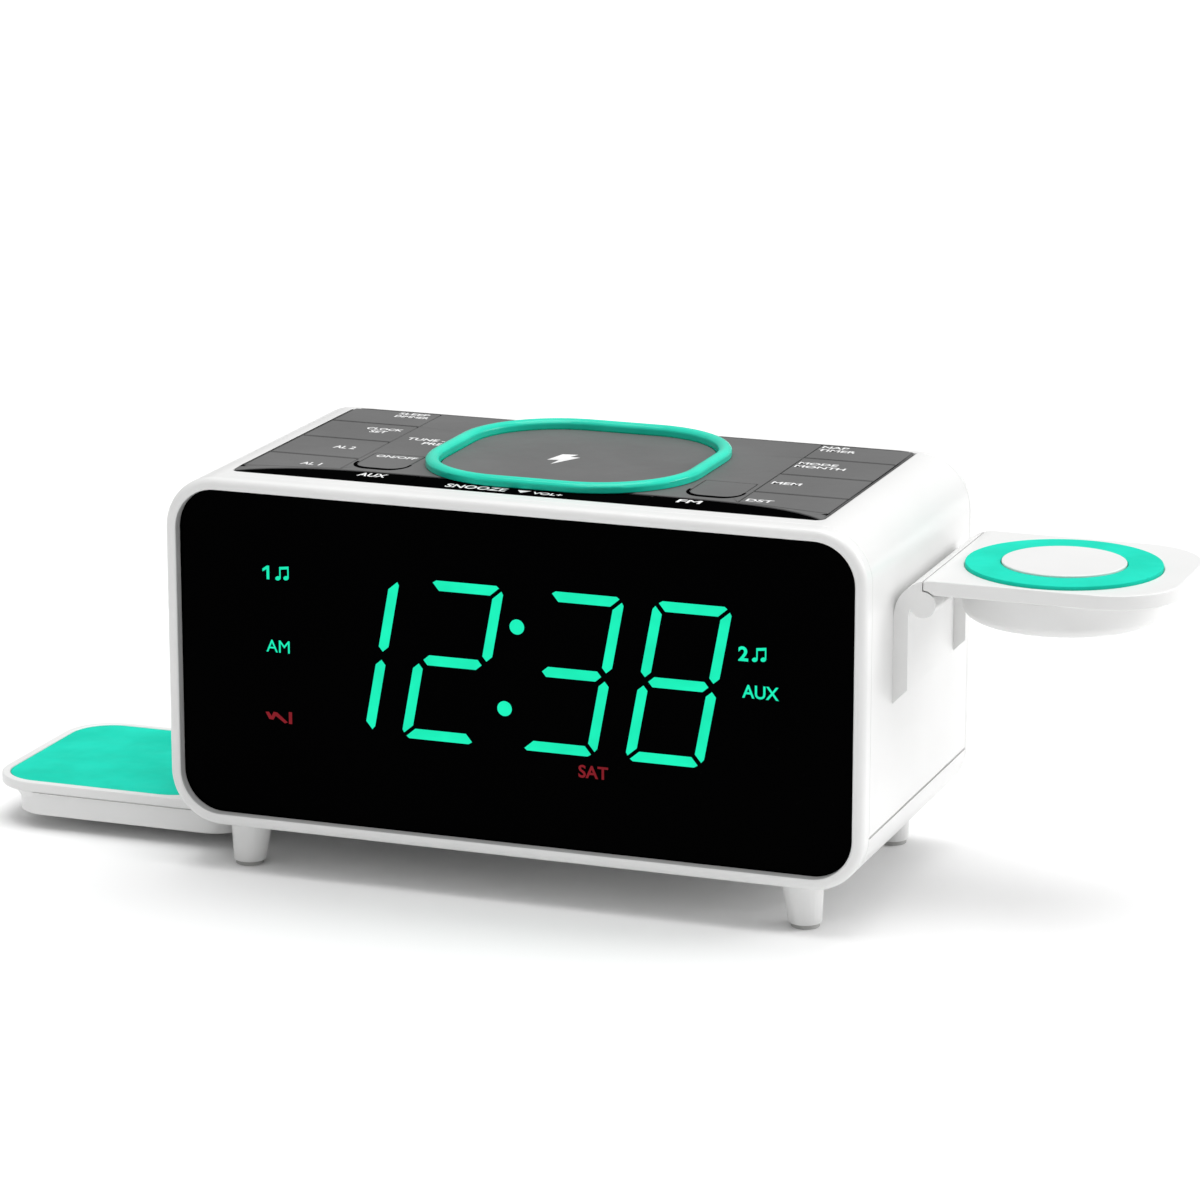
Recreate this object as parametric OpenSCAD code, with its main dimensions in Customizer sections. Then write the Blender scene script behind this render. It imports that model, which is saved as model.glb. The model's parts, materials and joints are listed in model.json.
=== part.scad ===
// Bedside clock radio with a phone charging pad, a slide-out earbud tray and a fold-down watch arm.
// Millimetres. +Z up, front faces -Y. The modules are drawn about the middle of the body; set_origin() then
// puts the origin on the table under the middle of the whole thing with its tray and arm out.

/* [Body] */
// Width of the body
body_w = 168; // [120:1:220]
// Depth of the body, bezel to rear cover
body_d = 83; // [60:1:120]
// Height of the body without its feet
body_h = 82.5; // [60:0.5:120]
// Radius of the long edges
edge_r = 12.5; // [8:0.5:20]
// Wall thickness of the mouldings
wall = 2.5; // [2:0.1:4]
// Height of the feet
foot_h = 11; // [8:0.5:14]
// Height of the base moulding up the sides
base_h = 12; // [10:0.5:20]

/* [Feet] */
// Distance of the feet from the middle, across
foot_x = 67.3; // [60:0.1:70]
// Front feet, front to back
foot_front = -32.5; // [-34:0.1:-32]
// Rear feet, front to back
foot_rear = 34.5; // [34:0.1:36]
// Radius of a foot at the base
foot_top_r = 4.9; // [4:0.1:6]
// Radius of a foot at the table
foot_end_r = 3.6; // [3:0.1:5]
// Outward lean of a foot, in degrees
foot_lean = 4; // [0:0.5:6]
// Thickness of the soft disc under a foot
foot_pad_t = 1; // [0.5:0.1:2]

/* [Front] */
// Depth of the bezel
bezel_t = 4.5; // [4:0.1:8]
// Width of the bezel band around the window
bezel_band = 2.8; // [2:0.1:8]
// Rounding of the bezel's outer front edge
bezel_round = 1.8; // [0.5:0.1:2.2]
// Chamfer of the bezel's inner front edge
bezel_chamfer = 0.4; // [0.1:0.1:0.8]
// Set-back of the window behind the bezel
window_set = 2.4; // [0.2:0.1:2.4]
// Thickness of the window
window_t = 1.2; // [1:0.1:1.4]
// Depth of the light block that carries the digits
block_t = 8.6; // [6:0.1:9]

/* [Top] */
// Half width of the key panel
panel_half = 70.8; // [50:0.1:72]
// Front edge of the key panel
panel_front = -32.6; // [-36:0.1:-28]
// Rear edge of the key panel
panel_rear = 39.2; // [30:0.1:39.3]
// Thickness of the key panel
panel_t = 2.3; // [2:0.1:3]
// How far the panel stands above the shell
panel_proud = 0.2; // [0:0.05:0.5]
// Depth of the curved front lip at the middle
lip_depth = 9.8; // [8:0.1:12]
// Drop of the front lip below the key panel
lip_drop = 0.25; // [0.1:0.05:0.4]
// Half size of the pad ring
ring_half = 33; // [31:0.1:34]
// Width of the pad ring
ring_w = 3.2; // [3:0.1:3.6]
// Height of the pad ring above the panel
ring_h = 2.3; // [2:0.1:2.5]
// Radius of the pad ring's rounded top
ring_top_r = 1.8; // [1.7:0.1:3]
// Corner radius of the pad ring
ring_r = 24.5; // [20:0.5:28]
// Middle of the pad, front to back
ring_y = 5.2; // [0:0.1:10]

/* [Keys] */
// Inner end of the long side keys
key_in = 48.2; // [46:0.1:52]
// Gap between neighbouring keys
key_gap = 0.9; // [0.8:0.1:2]
// Travel of every key
key_travel = 0.6; // [0.3:0.1:0.7]
// Clearance around a key
key_clear = 0.25; // [0.15:0.05:0.3]
// Thickness of a key's cap
cap_t = 1; // [0.8:0.1:1.1]
// Plungers of the long keys, across
plunger_x = 59.3; // [55:0.1:64]
// Radius of the long keys' plungers
plunger_r = 1.8; // [1.5:0.1:1.9]
// Plungers of the snooze key, across
snooze_x = 20; // [15:0.5:22]
// Plungers of the snooze key, front to back
snooze_y = -27.6; // [-28:0.1:-27]
// Half width of the snooze key
snooze_half = 28; // [24:0.5:30]
// Inner side of a tongue key
tab_x0 = 34.4; // [34:0.1:36]
// Outer side of a tongue key
tab_x1 = 46.6; // [44:0.1:47]
// Front end of a tongue key
tab_y0 = -19.4; // [-21:0.1:-18.5]
// Rear end of a tongue key
tab_y1 = -5; // [-8:0.1:-4]
// Plunger of a tongue key, front to back
tab_y = -13; // [-14:0.5:-12]

/* [Earbud tray] */
// Left end of the tray when pulled out
tray_x0 = -140; // [-150:0.5:-120]
// Right end of the tray when pulled out
tray_x1 = -74; // [-80:0.5:-70]
// Front edge of the tray
tray_y0 = -26.5; // [-27:0.1:-20]
// Rear edge of the tray
tray_y1 = 28.5; // [20:0.1:29]
// Underside of the tray
tray_z0 = 3.5; // [2:0.1:6]
// Top of the tray rim
tray_z1 = 11.5; // [9:0.1:11.7]
// Travel of the tray
tray_travel = 50; // [20:1:52]
// Rounding of the tray's corners
tray_r = 12; // [8:0.5:14]
// How far the rim hangs over at the left end
tray_flare = 6; // [3:0.5:8]
// Thickness of the tray's rim
rim_t = 2.5; // [1.5:0.1:3]
// Left end of the tray's rails when pulled out
rail_x0 = -70; // [-72:0.5:-68]
// Right end of the tray's rails when pulled out
rail_x1 = -56; // [-60:0.5:-54]
// Middle of each rail, front to back
slot_y = 12; // [10:0.5:14]
// Width of a rail's neck
slot_w = 5.4; // [4:0.1:6]

/* [Watch arm] */
// Front edge of the arm
arm_y0 = -21; // [-30:0.5:-10]
// Rear edge of the arm
arm_y1 = 29.5; // [20:0.5:35]
// Height of the arm's top face
arm_top = 79; // [60:0.5:85]
// Thickness of the arm plate and of the bracket's leg
arm_t = 3.4; // [3:0.1:5]
// Far end of the arm plate
arm_x1 = 145; // [130:0.5:160]
// Radius of the plate's outer corners
arm_corner = 16; // [5:0.5:22]
// Outer radius of the bend between the leg and the plate
bend_r = 9; // [6:0.5:12]
// Lower end of the bracket's leg
leg_foot = 50; // [40:0.5:60]
// Middle of the charging puck, across
puck_x = 116.5; // [115:0.5:120]
// Middle of the charging puck, front to back
puck_y = 2.5; // [1:0.5:5]
// Radius of the charging puck
puck_r = 22.5; // [20:0.5:22.5]
// Depth of the puck below the arm plate
puck_h = 7.9; // [5:0.1:7.9]
// Rounding of the puck's lower edge
puck_round = 2.5; // [1:0.1:3]
// Radius of the hinge barrel
barrel_r = 3; // [2.5:0.1:3]
// Hinge axis, outward from the body's side
axis_out = 6.6; // [6.5:0.1:7]
// Hinge axis, down from the arm's top face
axis_down = 5.7; // [5.5:0.1:6]
// Radius of the hinge pin
pin_r = 1.2; // [1:0.1:1.4]
// Length of each fixed knuckle
knuckle = 6; // [4:0.5:10]
// Gap at the seam between the two halves of the bend
seam_gap = 0.15; // [0.1:0.05:0.3]

/* [Speaker and inlet] */
// Middle of the speaker, across
speaker_x = -38; // [-45:1:-35]
// Middle of the speaker above the table
speaker_z = 57; // [52:1:60]
// Radius of the speaker's rim
speaker_r = 27; // [22:0.5:28]
// Spacing of the grille holes
grille_pitch = 5.2; // [4:0.1:8]
// Power inlet, across
jack_x = 52; // [48:1:56]
// Power inlet above the table
jack_z = 32; // [30:1:40]

/* [Boards and battery] */
// Thickness of the circuit boards
board_t = 1.6; // [1:0.1:1.6]
// Posts of the main board, across
board_x = [14, 64];
// Posts of the main board, front to back
board_y = [-20, 28];
// Middle of the battery bay, across
cell_x = 45; // [40:0.5:48]
// Middle of the battery bay, front to back
cell_y = 2; // [0:0.5:4]
// Half size of the battery door
door_half = 14; // [13:0.5:15]
// Travel of the battery door
door_travel = 4; // [3:0.5:5]

/* [Fixings] */
// Radius of a screw's shank
screw_r = 1.35; // [1.2:0.05:1.4]
// Radius of a screw's clearance hole
screw_hole = 1.6; // [1.5:0.05:1.8]
// Radius of a screw's head
head_r = 2.6; // [2.4:0.1:2.7]
// Radius of a recess for a screw's head
head_hole = 2.9; // [2.8:0.1:3.2]
// Radius of the screw posts
post_r = 3.4; // [3.2:0.1:4]
// Base and rear screws, across
screw_x = 72; // [70:0.5:74]
// Base screws, front to back
screw_y = [-22, 24];
// Screws that hold the watch arm, front to back
leg_screws = [-12, 20];
// Thickness of the rear cover
cover_t = 2; // [1.5:0.1:3]

/* [Hidden] */
z0 = foot_h;
z1 = foot_h + body_h;
zm = foot_h + body_h / 2;
seam_z = z0 + base_h;
y_front = -body_d / 2;
y_rear = body_d / 2;
bezel_y = y_front + bezel_t;
glass_y = y_front + window_set + window_t;
cover_y = y_rear - cover_t;
wall_x = body_w / 2;
floor_z = z0 + wall;
panel_top = z1 + panel_proud;
panel_z = panel_top - panel_t;
lip_top = panel_top - lip_drop;
cap_z = panel_top - cap_t;
pocket_z = cap_z - key_travel - 0.1;
ledge_z = panel_z - 2.2;
board_z = panel_z - 9.4;
button_z = board_z + board_t + 2.6;
plunger_z = button_z + key_travel + 0.1;
opening_half = ring_half - ring_w + 1.7;
pad_half = ring_half - ring_w - 0.3;
rows = [panel_front + 2.6, -11.9, 6.9, 24.6, panel_rear - 0.3];
tab_x = (tab_x0 + tab_x1) / 2;
foot_y = [foot_front, foot_rear];
rim_z = tray_z1 - rim_t;
tray_x = (tray_x0 + tray_x1) / 2;
axis_x = wall_x + axis_out;
axis_z = arm_top - axis_down;
bend_x = wall_x + bend_r;
bend_z = arm_top - bend_r;
under_z = arm_top - arm_t;
puck_z = under_z - puck_h;
rear_z = [seam_z + 18, z1 - 18];
leg_screw_z = bend_z + 1.5;
mid_z = z0 + 12;
shift_x = -(tray_x0 + arm_x1) / 2;
eps = 0.01;
$fn = 96;

white = [0.95, 0.95, 0.94];
grey = [0.43, 0.43, 0.43];
teal = [0.2, 0.84, 0.68];
black = [0.03, 0.03, 0.03];
green = [0.05, 0.3, 0.16];
copper = [0.75, 0.42, 0.2];
steel = [0.7, 0.7, 0.72];

// Origin under the middle of the overall box
module set_origin() translate([shift_x, 0, 0]) children();

// Rounded rectangle, centred
module round_rect(w, h, r) {
  square([w - 2 * r, h], center = true);
  square([w, h - 2 * r], center = true);
  for (sx = [-1, 1]) for (sy = [-1, 1]) translate([sx * (w / 2 - r), sy * (h / 2 - r)]) circle(r);
}

// Flat plate with rounded corners, from one corner to the other in plan
module plate(x0, x1, y0, y1, za, zb, r) {
  translate([(x0 + x1) / 2, (y0 + y1) / 2, za]) linear_extrude(zb - za) round_rect(x1 - x0, y1 - y0, r);
}

// Plain box given by its limits
module block(x0, x1, y0, y1, za, zb) {
  translate([x0, y0, za]) cube([x1 - x0, y1 - y0, zb - za]);
}

// The body's front outline pulled in by an inset and run from front to back
module tube(ya, yb, inset) {
  translate([0, yb, zm]) rotate([90, 0, 0]) linear_extrude(yb - ya)
    round_rect(body_w - 2 * inset, body_h - 2 * inset, edge_r - inset);
}

// Plate in the pad's rounded-square outline
module pad(half, za, zb) {
  plate(-half, half, ring_y - half, ring_y + half, za, zb, half - ring_half + ring_r);
}

// Vertical cylinder
module peg(x, y, za, zb, r) {
  translate([x, y, za]) cylinder(h = zb - za, r = r);
}

// Countersunk screw pointing up
module screw_up(x, y, za, len) {
  peg(x, y, za, za + 1.6, head_r);
  peg(x, y, za, za + len, screw_r);
}

// Countersunk screw pointing to the front
module screw_in(x, z, len) {
  translate([x, y_rear - 0.3, z]) rotate([90, 0, 0]) {
    cylinder(h = 1.3, r = head_r);
    cylinder(h = len, r = screw_r);
  }
}

// Cross-section of the bezel, outer edge rounded and inner edge chamfered
module bezel_section() {
  inner = edge_r - bezel_band;
  difference() {
    translate([inner, 0]) square([bezel_band, bezel_t]);
    translate([edge_r - bezel_round, bezel_t - bezel_round]) difference() {
      square(bezel_round + 1);
      circle(bezel_round);
    }
    polygon([
      [inner - 1, bezel_t - bezel_chamfer - 1],
      [inner + bezel_chamfer + 1, bezel_t + 1],
      [inner - 1, bezel_t + 1]
    ]);
  }
}

// Bezel section taken round the body's outline
module bezel_band_ring() {
  hx = body_w / 2 - edge_r;
  hz = body_h / 2 - edge_r;
  big = edge_r + 1;
  translate([0, bezel_y, zm]) {
    for (sx = [-1, 1]) for (sz = [-1, 1]) intersection() {
      translate([sx * hx, 0, sz * hz]) rotate([90, 0, 0]) rotate_extrude() bezel_section();
      translate([sx * (hx + big / 2), 0, sz * (hz + big / 2)]) cube([big, 20, big], center = true);
    }
    for (s = [0, 180]) rotate([0, s, 0]) translate([-hx, 0, hz]) rotate(180, [1, 0, 1])
      linear_extrude(2 * hx) bezel_section();
    for (s = [0, 180]) rotate([0, s, 0]) translate([hx, 0, hz]) rotate([180, 0, 0])
      linear_extrude(2 * hz) bezel_section();
  }
}

// Thin tongues that slip inside the shell's side walls
module side_tongues(ya, yb) {
  intersection() {
    difference() {
      tube(ya, yb, wall + 0.15);
      tube(ya - 1, yb + 1, wall + 2);
    }
    block(-wall_x, wall_x, ya, yb, seam_z + 4, z1 - 8);
  }
}

module front_bezel() color(white) {
  bezel_band_ring();
  difference() {
    tube(glass_y, bezel_y, bezel_band - 0.4);
    tube(y_front, bezel_y + 1, bezel_band + 2.8);
  }
  side_tongues(bezel_y - 0.1, bezel_y + 4);
}

module display_window() color(black) {
  tube(y_front + window_set, glass_y, bezel_band + 0.05);
}

// Front boundary of the key panel at a given distance from the middle
function lip_y(x) = panel_front + lip_depth * (1 - pow(abs(x) / panel_half, 6.5));

// Outline between the panel's straight front edge and its curved boundary, shifted back by an offset
module lip_outline(shift) {
  steps = 40;
  curve = [for (i = [0:steps]) let (x = panel_half * (1 - 2 * i / steps)) [x, lip_y(x) + shift]];
  polygon(concat([[-panel_half, panel_front - 1], [panel_half, panel_front - 1]], curve));
}

// Upper shell: roof with the recess for the key panel, side walls and screw bosses
module upper_shell() color(white) {
  difference() {
    union() {
      difference() {
        tube(bezel_y, cover_y, 0);
        tube(bezel_y - 1, cover_y + 1, wall);
      }
      intersection() {
        block(-wall_x, wall_x, bezel_y, cover_y, ledge_z, z1);
        tube(bezel_y, cover_y, 1);
      }
      for (sx = [-1, 1]) for (y = screw_y) {
        peg(sx * screw_x, y, seam_z + 2.6, seam_z + 16, post_r);
        translate([sx * (screw_x + 6.5), y, seam_z + 9.3]) cube([7.6, 1.6, 13.4], center = true);
      }
      for (sx = [-1, 1]) for (z = rear_z) {
        translate([sx * screw_x, cover_y - 4.2, z]) rotate([90, 0, 0]) cylinder(h = 10, r = post_r);
        translate([sx * 78.5, cover_y - 9.2, z]) cube([7.6, 10, 1.6], center = true);
      }
      for (y = leg_screws) translate([wall_x - 4, y, leg_screw_z])
        rotate([0, 90, 0]) cylinder(h = 6, r = 4, center = true);
    }
    block(-wall_x - 1, wall_x + 1, bezel_y - 1, cover_y + 1, 0, seam_z + 0.3);
    plate(-panel_half - 0.15, panel_half + 0.15, panel_front - 0.15, cover_y + 5, panel_z - 0.05, z1 + 5, 2);
    block(-66, 66, -29.4, 34.3, ledge_z - 1, z1 + 5);
    for (sx = [-1, 1]) for (y = screw_y) peg(sx * screw_x, y, seam_z, seam_z + 14, screw_r);
    for (y = leg_screws) translate([wall_x, y, leg_screw_z])
      rotate([0, 90, 0]) cylinder(h = 20, r = screw_hole, center = true);
    for (sx = [-1, 1]) for (z = rear_z) translate([sx * screw_x, cover_y - 12, z])
      rotate([-90, 0, 0]) cylinder(h = 14, r = screw_r);
  }
}

// Base moulding: floor with a shallow bay for the tray, lower sides, rails and the battery bay
module base_cover() color(white) {
  difference() {
    union() {
      intersection() {
        difference() {
          tube(bezel_y, cover_y, 0);
          tube(bezel_y - 1, cover_y + 1, wall);
        }
        block(-wall_x, wall_x, bezel_y, cover_y, 0, seam_z);
      }
      intersection() {
        difference() {
          tube(bezel_y + 4.2, cover_y - 4.2, wall + 0.1);
          tube(bezel_y, cover_y, wall + 1.4);
        }
        block(-wall_x, wall_x, bezel_y, cover_y, z0 + 4, seam_z + 2.4);
      }
      for (sx = [-1, 1]) for (y = screw_y) peg(sx * screw_x, y, z0 + 1.5, seam_z + 2.4, post_r);
      for (sx = [-1, 1]) for (y = foot_y) peg(sx * foot_x, y, z0 + 1, z0 + 8, 4.2);
      for (s = [-1, 1]) for (e = [slot_y - 6.4, slot_y + 5.4])
        block(-70, rail_x1 + tray_travel + 6, s * e - (s < 0 ? 1 : 0), s * e + (s > 0 ? 1 : 0),
          z0 + 1, z0 + 6);
      for (x = board_x) for (y = board_y) peg(x, y, z0 + 1, mid_z, 3);
      difference() {
        block(cell_x - 15, cell_x + 15, cell_y - 15, cell_y + 15, z0 + 1, z0 + 8);
        block(cell_x - 13, cell_x + 13, cell_y - 13, cell_y + 13, z0, z0 + 9);
      }
    }
    for (s = [-1, 1]) block(rail_x0 - 0.2, rail_x1 + tray_travel + 0.2, s * slot_y - slot_w / 2 - 0.2,
      s * slot_y + slot_w / 2 + 0.2, z0 - 1, floor_z + 1);
    block(-wall_x - 1, rail_x1 + tray_travel + 1.6, tray_y0 - 0.3, tray_y1 + 0.3, 0, tray_z1 + 0.15);
    block(cell_x - 12.5, cell_x + 12.5, cell_y - 12.5, cell_y + 12.5, z0 - 1, z0 + 5);
    block(cell_x - door_half - 0.15, cell_x + door_half + 0.15, cell_y - door_half - 0.15,
      cell_y + door_half + door_travel + 0.15, z0 - 1, z0 + 1.4);
    for (sx = [-1, 1]) for (y = screw_y) {
      peg(sx * screw_x, y, 0, seam_z + 3, screw_hole);
      peg(sx * screw_x, y, 0, z0 + 4.05, head_hole);
    }
    for (sx = [-1, 1]) for (y = foot_y) peg(sx * foot_x, y, 0, z0 + 7, 2.05);
    for (x = board_x) for (y = board_y) peg(x, y, z0 + 4, mid_z + 1, 1.2);
  }
}

// Rear cover with the speaker grille and the power inlet hole
module rear_cover() color(white) {
  difference() {
    union() {
      tube(cover_y, y_rear, 0);
      side_tongues(cover_y - 4, cover_y + 0.1);
      for (sx = [-1, 1]) for (z = rear_z) translate([sx * screw_x, cover_y + 0.1, z])
        rotate([90, 0, 0]) cylinder(h = 4.25, r = post_r);
      for (a = [45:90:315]) translate([speaker_x + 31 * cos(a), cover_y + 0.5, speaker_z + 31 * sin(a)])
        rotate([90, 0, 0]) cylinder(h = 4.4, r = 2.4);
    }
    for (i = [-4:4]) for (j = [-4:4]) if (norm([i + j / 2, j * sin(60)]) * grille_pitch < speaker_r - 3)
      translate([speaker_x + (i + j / 2) * grille_pitch, cover_y - 1, speaker_z + j * sin(60) * grille_pitch])
        rotate([-90, 0, 0]) cylinder(h = 6, r = 1.3);
    translate([jack_x, cover_y - 1, jack_z]) rotate([-90, 0, 0]) cylinder(h = 6, r = 4.1);
    for (sx = [-1, 1]) for (z = rear_z) translate([sx * screw_x, 0, z]) {
      translate([0, cover_y - 6, 0]) rotate([-90, 0, 0]) cylinder(h = 10, r = screw_hole);
      translate([0, y_rear - 1.65, 0]) rotate([-90, 0, 0]) cylinder(h = 4, r = head_hole);
    }
  }
}

// Outline of a long side key, on the right; row 0 is nearest the front
module side_key_outline(row, grow) {
  out = panel_half - 0.5 + grow;
  near = rows[row] + (row == 0 ? 0 : key_gap / 2) - grow;
  far = rows[row + 1] - (row == 3 ? 0 : key_gap / 2) + grow;
  polygon([
    [key_in - grow, row == 0 ? lip_y(key_in) + 0.9 - grow : near],
    [out, row == 0 ? lip_y(66) + 2.4 - grow : near],
    [out, far],
    [key_in - grow, far]
  ]);
}

// Middle of a side key's plunger, front to back
function row_y(row) = row == 0 ? -18 : (rows[row] + rows[row + 1]) / 2;

module side_key(side, row) {
  mirror([side < 0 ? 1 : 0, 0, 0]) {
    translate([0, 0, cap_z]) linear_extrude(panel_top - cap_z) side_key_outline(row, 0);
    peg(plunger_x, row_y(row), plunger_z, cap_z + 0.5, plunger_r);
  }
}

module key_sleep() color(grey) side_key(-1, 3);

module key_clock() color(grey) side_key(-1, 2);

module key_alarm_two() color(grey) side_key(-1, 1);

module key_alarm_one() color(grey) side_key(-1, 0);

module key_nap() color(grey) side_key(1, 3);

module key_mode() color(grey) side_key(1, 2);

module key_memory() color(grey) side_key(1, 1);

module key_timer() color(grey) side_key(1, 0);

// Tongue-shaped key with a rounded front end
module tab_outline(grow) {
  w = tab_x1 - tab_x0;
  translate([tab_x, tab_y0 + 12]) difference() {
    round_rect(w + 2 * grow, 24 + 2 * grow, 4 + grow);
    translate([-w, tab_y1 - tab_y0 - 12 + grow]) square([2 * w, 20]);
  }
}

module tab_key(side) {
  mirror([side < 0 ? 1 : 0, 0, 0]) {
    translate([0, 0, cap_z]) linear_extrude(panel_top - cap_z) tab_outline(0);
    peg(tab_x, tab_y, plunger_z, cap_z + 0.5, plunger_r);
  }
}

module key_source() color(grey) tab_key(-1);

module key_band() color(grey) tab_key(1);

// Strip in front of the pad that works as the snooze bar
module snooze_outline(grow) {
  difference() {
    intersection() {
      lip_outline(-key_clear + grow);
      translate([-snooze_half - grow, panel_front + 1.2 - grow]) square([2 * (snooze_half + grow), 20]);
    }
    translate([0, ring_y]) round_rect(2 * opening_half + 0.6 - 2 * grow, 2 * opening_half + 0.6 - 2 * grow,
      opening_half + 0.3 - grow - ring_half + ring_r);
  }
}

module key_snooze() color(black) {
  translate([0, 0, cap_z]) linear_extrude(lip_top - cap_z) snooze_outline(0);
  for (sx = [-1, 1]) peg(sx * snooze_x, snooze_y, plunger_z, cap_z + 0.3, 1.2);
}

// Panel that carries the keys
module top_panel() color(grey) {
  difference() {
    union() {
      plate(-panel_half, panel_half, panel_front, panel_rear, panel_z, panel_top, 2);
      for (sx = [-1, 1]) for (y = [2.5, 28]) peg(sx * 52, y, board_z + board_t, panel_z + 1, 2);
      for (sx = [-1, 1]) for (y = [-19, 32]) peg(sx * 31.5, y, panel_z - 6, panel_z + 1, 2);
    }
    translate([0, 0, panel_z - 5]) linear_extrude(20) lip_outline(0);
    pad(opening_half, panel_z - 1, panel_top + 1);
    for (side = [-1, 1]) mirror([side < 0 ? 1 : 0, 0, 0]) {
      for (row = [0:3]) {
        translate([0, 0, pocket_z]) linear_extrude(5) side_key_outline(row, key_clear);
        peg(plunger_x, row_y(row), panel_z - 1, panel_top, plunger_r + 0.2);
      }
      translate([0, 0, pocket_z]) linear_extrude(5) tab_outline(key_clear);
      peg(tab_x, tab_y, panel_z - 1, panel_top, plunger_r + 0.2);
    }
  }
}

// Glossy strip along the front of the panel
module front_lip() color(black) {
  difference() {
    intersection() {
      translate([0, 0, panel_z]) linear_extrude(lip_top - panel_z) lip_outline(-0.02);
      plate(-panel_half, panel_half, panel_front, panel_rear, panel_z, panel_top, 2);
    }
    pad(opening_half + 0.3, panel_z - 1, panel_top + 1);
    translate([0, 0, pocket_z]) linear_extrude(5) snooze_outline(key_clear);
    for (sx = [-1, 1]) peg(sx * snooze_x, snooze_y, panel_z - 1, panel_top, 1.4);
    for (side = [-1, 1]) mirror([side < 0 ? 1 : 0, 0, 0])
      translate([0, 0, pocket_z]) linear_extrude(5) tab_outline(0.8);
  }
}

// Half-round section of the pad ring with a locating tongue below
module ring_section() {
  mid = ring_r - ring_w / 2;
  intersection() {
    translate([mid, ring_h - ring_top_r]) circle(ring_top_r);
    translate([ring_r - ring_w, 0.02]) square([ring_w, 5]);
  }
  translate([ring_r - ring_w + 0.1, -panel_t]) square([1.3, panel_t + 0.5]);
}

module pad_ring() color(teal) {
  h = ring_half - ring_r;
  big = ring_r + 1;
  translate([0, ring_y, panel_top]) {
    for (sx = [-1, 1]) for (sy = [-1, 1]) intersection() {
      translate([sx * h, sy * h, 0]) rotate_extrude() ring_section();
      translate([sx * (h + big / 2), sy * (h + big / 2), 0]) cube([big, big, 20], center = true);
    }
    for (a = [0:90:270]) rotate([0, 0, a]) translate([-h, h, 0]) rotate([90, 0, 90])
      linear_extrude(2 * h) ring_section();
  }
}

module charge_pad() color(grey) pad(pad_half, panel_z, panel_top);

// Plate that holds the charging coil up against the pad
module coil_carrier() color(white) {
  plate(-34, 34, -21.5, 35.5, panel_z - 7.6, panel_z - 6, 3);
  for (sx = [-1, 1]) for (y = [-6, 16]) peg(sx * 26.6, y, panel_z - 7, panel_z, 1.4);
}

module phone_shield() color(steel) plate(-25, 25, -20 + ring_y, 20 + ring_y, panel_z - 6, panel_z - 4.4, 2);

module phone_coil() color(copper) {
  difference() {
    peg(0, ring_y, panel_z - 4.4, panel_z - 2.4, 20);
    peg(0, ring_y, panel_z - 5, panel_z, 9.5);
  }
}

// Switch board under the side keys, its push switches included
module key_board(side) {
  mirror([side < 0 ? 1 : 0, 0, 0]) {
    plate(36.5, 64.5, -24, 34, board_z, board_z + board_t, 1);
    for (row = [0:3]) {
      block(plunger_x - 3, plunger_x + 3, row_y(row) - 3, row_y(row) + 3, board_z + board_t, button_z - 0.8);
      peg(plunger_x, row_y(row), button_z - 1, button_z, 1.6);
    }
    block(tab_x - 3, tab_x + 3, tab_y - 3, tab_y + 3, board_z + board_t, button_z - 0.8);
    peg(tab_x, tab_y, button_z - 1, button_z, 1.6);
  }
}

module key_board_left() color(green) key_board(-1);

module key_board_right() color(green) key_board(1);

module snooze_board() color(green) {
  plate(-25, 25, -31.5, -23.4, board_z, board_z + board_t, 1);
  for (sx = [-1, 1]) {
    block(sx * snooze_x - 3, sx * snooze_x + 3, snooze_y - 3, snooze_y + 3,
      board_z + board_t, button_z - 0.8);
    peg(sx * snooze_x, snooze_y, button_z - 1, button_z, 1.6);
  }
  for (sx = [-1, 1]) peg(sx * 10, snooze_y, board_z + board_t, panel_z, 1.4);
}

module display_block() color(white) upright(62, glass_y, block_t, 28, board_z - 1);

module display_board() color(green) upright(66, glass_y + block_t, board_t, 26, board_z - 0.6);

// Upright box spread evenly about the middle: half width, front face, thickness, height limits
module upright(half, y, t, za, zb) {
  block(-half, half, y, y + t, za, zb);
}

// Tapered foot leaning slightly outward, with a spigot that plugs into the base
module foot(sx, y) {
  intersection() {
    translate([sx * foot_x, y, foot_h]) rotate([0, sx * (180 - foot_lean), 0]) translate([0, 0, -1])
      cylinder(h = foot_h + 2, r1 = foot_top_r + 0.1, r2 = foot_end_r);
    block(sx * foot_x - 10, sx * foot_x + 10, y - 10, y + 10, foot_pad_t, foot_h);
  }
  peg(sx * foot_x, y, foot_h - 1, foot_h + 6.5, 2);
}

module foot_front_left() color(white) foot(-1, foot_y[0]);

module foot_front_right() color(white) foot(1, foot_y[0]);

module foot_rear_left() color(white) foot(-1, foot_y[1]);

module foot_rear_right() color(white) foot(1, foot_y[1]);

// Soft discs under the feet
module foot_pads() color([0.8, 0.8, 0.8]) {
  x = foot_x + foot_h * tan(foot_lean);
  for (sx = [-1, 1]) for (y = foot_y) peg(sx * x, y, 0, foot_pad_t, foot_end_r - 0.35);
}

// Main circuit board with its larger parts
module main_board() color(green) {
  z = mid_z + board_t;
  difference() {
    plate(8, 67.5, -24, 32, mid_z, z, 1);
    for (x = board_x) for (y = board_y) peg(x, y, mid_z - 1, mid_z + 3, 1.3);
  }
  block(20, 34, -8, 6, z, z + 1.5);
  block(42, 50, -14, -8, z, z + 3);
  for (x = [24, 32, 40]) peg(x, 20, z, z + 9, 3.2);
}

// Cylinder standing on the rear cover's speaker axis
module speaker_disc(depth, len, r) {
  translate([speaker_x, cover_y - depth, speaker_z]) rotate([90, 0, 0]) cylinder(h = len, r = r);
}

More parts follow.
